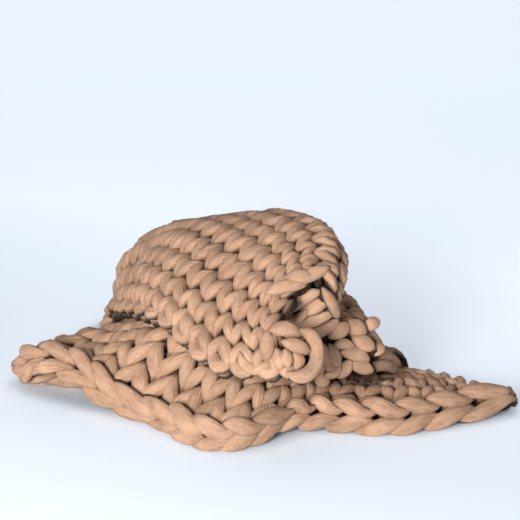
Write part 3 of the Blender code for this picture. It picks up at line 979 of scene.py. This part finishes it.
@dataclass(frozen=True)
class JerseyFinish:
    """Brushed cotton jersey in tan, drawn over the filling of the tube yarn."""

    light: tuple[float, ...] = (0.545, 0.333, 0.214, 1)
    mid: tuple[float, ...] = (0.435, 0.259, 0.164, 1)
    shade: tuple[float, ...] = (0.310, 0.176, 0.108, 1)
    # painted shade: the near-black colour laid into the creases where the yarn sinks between its
    # neighbours
    fold: tuple[float, ...] = (0.030, 0.014, 0.008, 1)
    stops: tuple[float, ...] = (.36, .48, .60)             # tones of shade, mid and light
    patch_scale: float = 22.0
    grain_scale: tuple[float, ...] = (180.0, 60.0, 1.0)    # along the yarn and round it
    drawn_scale: tuple[float, ...] = (26.0, 16.0, 1.0)
    crumple_scale: tuple[float, ...] = (9.0, 4.0, 1.0)
    crease_shade_from: float = .38        # how proud the yarn is where the painted crease shade is deepest
    crease_shade_to: float = .80          # and where it ends
    crease_shade_share: float = .97       # of the painted shade colour at its deepest
    bump_strength: float = .75
    bump_height: float = .0042

    def material(self) -> bpy.types.Material:
        """The yarn's cloth: soft patches, fine grain along the yarn and painted shade in its
        creases.

        Returns:
            The finished material.
        """
        paint = Paint("tan_jersey")
        yarn = paint.node("ShaderNodeUVMap", {"uv_map": "yarn"}, {})
        place = paint.node("ShaderNodeTexCoord", {}, {}, "Object")
        bend, proud = paint.attribute("bend"), paint.attribute("proud")
        patches = paint.noise(place, (1.0, 1.0, 1.0), Scale=self.patch_scale, Detail=3.0,
                              Roughness=.6)
        grain = paint.noise(yarn, self.grain_scale, Scale=1.0, Detail=4.0, Roughness=.7)
        drawn = paint.noise(yarn, self.drawn_scale, Scale=1.0, Detail=2.0, Roughness=.5)
        crumple = paint.noise(yarn, self.crumple_scale, Scale=2.2, Detail=3.0, Roughness=.6,
                              Distortion=1.2)
        tone = patches * .55 + grain * .25 + drawn * .20
        stops = zip(self.stops, (self.shade, self.mid, self.light))
        cloth = paint.node("ShaderNodeValToRGB", {"stops": tuple(stops)}, {"Fac": tone})
        # painted crease shade: the less proud the yarn stands, the nearer its colour comes to the
        # fold colour
        painted_crease_shade = paint.node("ShaderNodeMapRange", {"interpolation_type": "SMOOTHSTEP"}, {
            "Value": proud + drawn * .12, "From Min": self.crease_shade_from,
            "From Max": self.crease_shade_to, "To Min": self.crease_shade_share, "To Max": 0.0})
        colour = paint.mix(painted_crease_shade, cloth, self.fold)
        height = grain * .30 + drawn * (bend * 1.6 + .6) + crumple * (bend * 1.8 + 1.6)
        bump = paint.node("ShaderNodeBump", {}, {
            "Strength": self.bump_strength, "Distance": self.bump_height, "Height": height})
        return paint.finish(Base_Color=colour, Roughness=.92, Normal=bump, Sheen_Weight=.04,
                            Sheen_Roughness=.6, Specular_IOR_Level=.12)


@dataclass(frozen=True)
class FloorFinish:
    """Pale matt floor that glows a little, more so further back; under and round the cloth its
    glow is taken away as painted contact shadow.
    """

    colour: tuple[float, ...] = (0.62, 0.68, 0.76, 1)
    glow_near: tuple[float, ...] = (0.435, 0.460, 0.498, 1)
    glow_far: tuple[float, ...] = (0.800, 0.845, 0.930, 1)
    # painted contact shadow: the near-black glow under and round the cloth's low points
    glow_in_painted_shadow: tuple[float, ...] = (0.02, 0.02, 0.02, 1)
    glow_strength: float = 0.70
    glow_from: float = -0.3       # where the near glow ends
    glow_to: float = 1.0          # where the far glow begins
    glow_slant: float = 0.6       # how much further back a place counts, to the right

    def material(self) -> bpy.types.Material:
        """The floor's paint.

        Returns:
            The finished material.
        """
        paint = Paint("pale_floor")
        place = paint.node("ShaderNodeTexCoord", {}, {}, "Object")
        right, back = (paint.node("ShaderNodeSeparateXYZ", {}, {"Vector": place}, axis)
                       for axis in "XY")
        share = paint.node("ShaderNodeMapRange", {}, {
            "Value": back + right * self.glow_slant, "From Min": self.glow_from,
            "From Max": self.glow_to, "To Min": 0.0, "To Max": 1.0})
        glow = paint.mix(share, self.glow_near, self.glow_far)
        # painted contact shadow: the glow falls away round the cloth's low points
        glow = paint.mix(paint.attribute("covered"), glow, self.glow_in_painted_shadow)
        return paint.finish(Base_Color=self.colour, Roughness=.9, Emission_Color=glow,
                            Emission_Strength=self.glow_strength, Specular_IOR_Level=.1)


# ---- the studio ------------------------------------------------------------------
Lamp = namedtuple("Lamp", "name place size power")
LAMPS = (
    Lamp("front_softbox", (-1.1, -3.1, 1.10), 1.3, 158.0),
    Lamp("right_softbox", (2.4, -2.0, .95), 1.6, 7.0),
    Lamp("top_panel", (0.0, .3, 2.6), 1.8, 6.0),
)


@dataclass
class Studio:
    """A plain pale floor that runs up behind, soft light from the front and the camera."""

    centre: Vector
    elevation: float = 17.0
    distance: float = 2.8
    lens: float = 102.53
    sensor: float = 36.0
    picture_steps: int = 520          # along the picture's side
    aim_height: float = 0.2985
    lamp_aim: tuple[float, ...] = (0, 0, .15)
    air_colour: tuple[float, ...] = (.90, .95, 1, 1)
    air_strength: float = .10
    floor_half: float = 9.0           # half its width
    floor_front: float = 4.5          # its front edge, before the heap
    floor_flat: float = 8.0           # from that edge to where it starts to rise
    floor_back: float = 11.5          # from the heap to its upper end, along it
    rise_radius: float = 2.0
    segments: int = 200
    crowding: float = 5.0             # how much finer its grid is under the heap
    shade_height: float = 0.142       # cloth lower than this shades the floor
    full_shade: float = 0.018         # as far as this from its middle
    no_shade: float = 0.055

    def eye(self) -> tuple[np.ndarray, np.ndarray]:
        """Where the camera is.

        Returns:
            Its place in the tables' frame, and the direction to it.
        """
        rise = math.radians(self.elevation)
        behind = np.array([0, -math.cos(rise), math.sin(rise)])
        return behind * self.distance + np.array([0, 0, self.aim_height]), behind

    def seen(self, right: float, down: float, back: float) -> tuple[np.ndarray, float]:
        """Where a place in the front view lies.

        Args:
            right: Its distance from the picture's left side, in steps.
            down: Its distance from the picture's top, in steps.
            back: How far back it lies, in the tables' frame.

        Returns:
            The place, and how long a step is there.
        """
        eye, behind = self.eye()
        focal, middle = self.lens / self.sensor * self.picture_steps, self.picture_steps / 2
        above = np.array([0, behind[2], -behind[1]])
        way = (np.array([1.0, 0, 0]) * (right - middle) + above * (middle - down)) / focal - behind
        reach = (back - eye[1]) / way[1]
        return eye + way * reach - np.array(self.centre), reach / focal

    def build(self, cloth: Cloth) -> None:
        """Makes the sweep, the lights and the camera.

        Args:
            cloth: What lies on the floor.
        """
        floor = self.sweep(cloth)
        scene = bpy.context.scene
        scene.view_settings.view_transform = "Standard"
        world = bpy.data.worlds.new("studio_air")
        world.use_nodes = True
        world.node_tree.nodes["Background"].inputs[0].default_value = self.air_colour
        world.node_tree.nodes["Background"].inputs[1].default_value = self.air_strength
        scene.world = world
        for row in LAMPS:
            data = bpy.data.lights.new(row.name, "AREA")
            data.shape, data.size, data.energy = "DISK", row.size, row.power
            lamp = bpy.data.objects.new(row.name, data)
            lamp.location = row.place
            look = Vector(self.lamp_aim) - lamp.location
            lamp.rotation_euler = look.to_track_quat("-Z", "Y").to_euler()
            scene.collection.objects.link(lamp)
        eye, behind = self.eye()
        data = bpy.data.cameras.new("photo_camera")
        data.lens, data.sensor_width = self.lens, self.sensor
        camera = bpy.data.objects.new("photo_camera", data)
        camera.location = Vector(eye) - self.centre
        camera.rotation_euler = Vector(behind).to_track_quat("Z", "Y").to_euler()
        scene.collection.objects.link(camera)
        scene.camera = camera

    def sweep(self, cloth: Cloth) -> bpy.types.Object:
        """The floor and its backdrop: a grid that is finest under the heap, bent up behind.

        Args:
            cloth: What lies on it; under and round its low points the floor's glow is taken away
                as painted contact shadow.

        Returns:
            The finished object.
        """
        low = [point for point in cloth.grid.reshape(-1, 3) if point[2] < self.shade_height]
        near_by = KDTree(len(low))
        for number, point in enumerate(low):
            near_by.insert((point[0], point[1], 0), number)
        near_by.balance()
        bm = bmesh.new()
        # how deep the painted contact shadow is at each point of the floor
        covered = bm.verts.layers.float.new("covered")
        bmesh.ops.create_grid(bm, x_segments=self.segments, y_segments=self.segments, size=1.0)
        for vert in bm.verts:
            across, along = (math.sinh(self.crowding * share) / math.sinh(self.crowding)
                             for share in vert.co.xy)
            way = self.floor_front + along * (self.floor_back if along > 0 else self.floor_front)
            vert.co = Vector((across * self.floor_half, *self.profile(way)))
            _, _, distance = near_by.find((vert.co.x, vert.co.y, 0))
            shade = (self.no_shade - distance) / (self.no_shade - self.full_shade)
            vert[covered] = min(max(shade, 0), 1)
        floor = placed(bm, "studio_floor")
        floor.data.materials.append(FloorFinish().material())
        return floor

    def profile(self, way: float) -> tuple[float, float]:
        """The sweep's outline, seen from the side.

        Args:
            way: The way along it from its front edge.

        Returns:
            Depth and height there.
        """
        flat, radius = self.floor_flat, self.rise_radius
        if way < flat:
            return way - self.floor_front, 0.0
        turn = min((way - flat) / radius, math.pi / 2)
        rest = max(way - flat - radius * math.pi / 2, 0)
        return (flat - self.floor_front + radius * math.sin(turn),
                radius * (1 - math.cos(turn)) + rest)


def main() -> None:
    """Builds the yarn in order, dresses it and sets the studio up."""
    logging.basicConfig(level=logging.INFO, format="%(message)s")
    centre = Vector(HEAP_MIDDLE)
    cloth = Cloth(Gauge(), centre)
    studio = Studio(centre)
    jersey = JerseyFinish().material()
    pieces = [KnitRows(cloth, length).build(jersey) for length in LENGTHS]
    pieces += [EdgeChain(cloth).build(jersey), LooseStrands(studio).build(jersey)]
    for piece in pieces:
        log.info("%s: %d triangles", piece.name,
                 sum(len(face.vertices) - 2 for face in piece.data.polygons))
    studio.build(cloth)


if __name__ == "__main__":
    main()
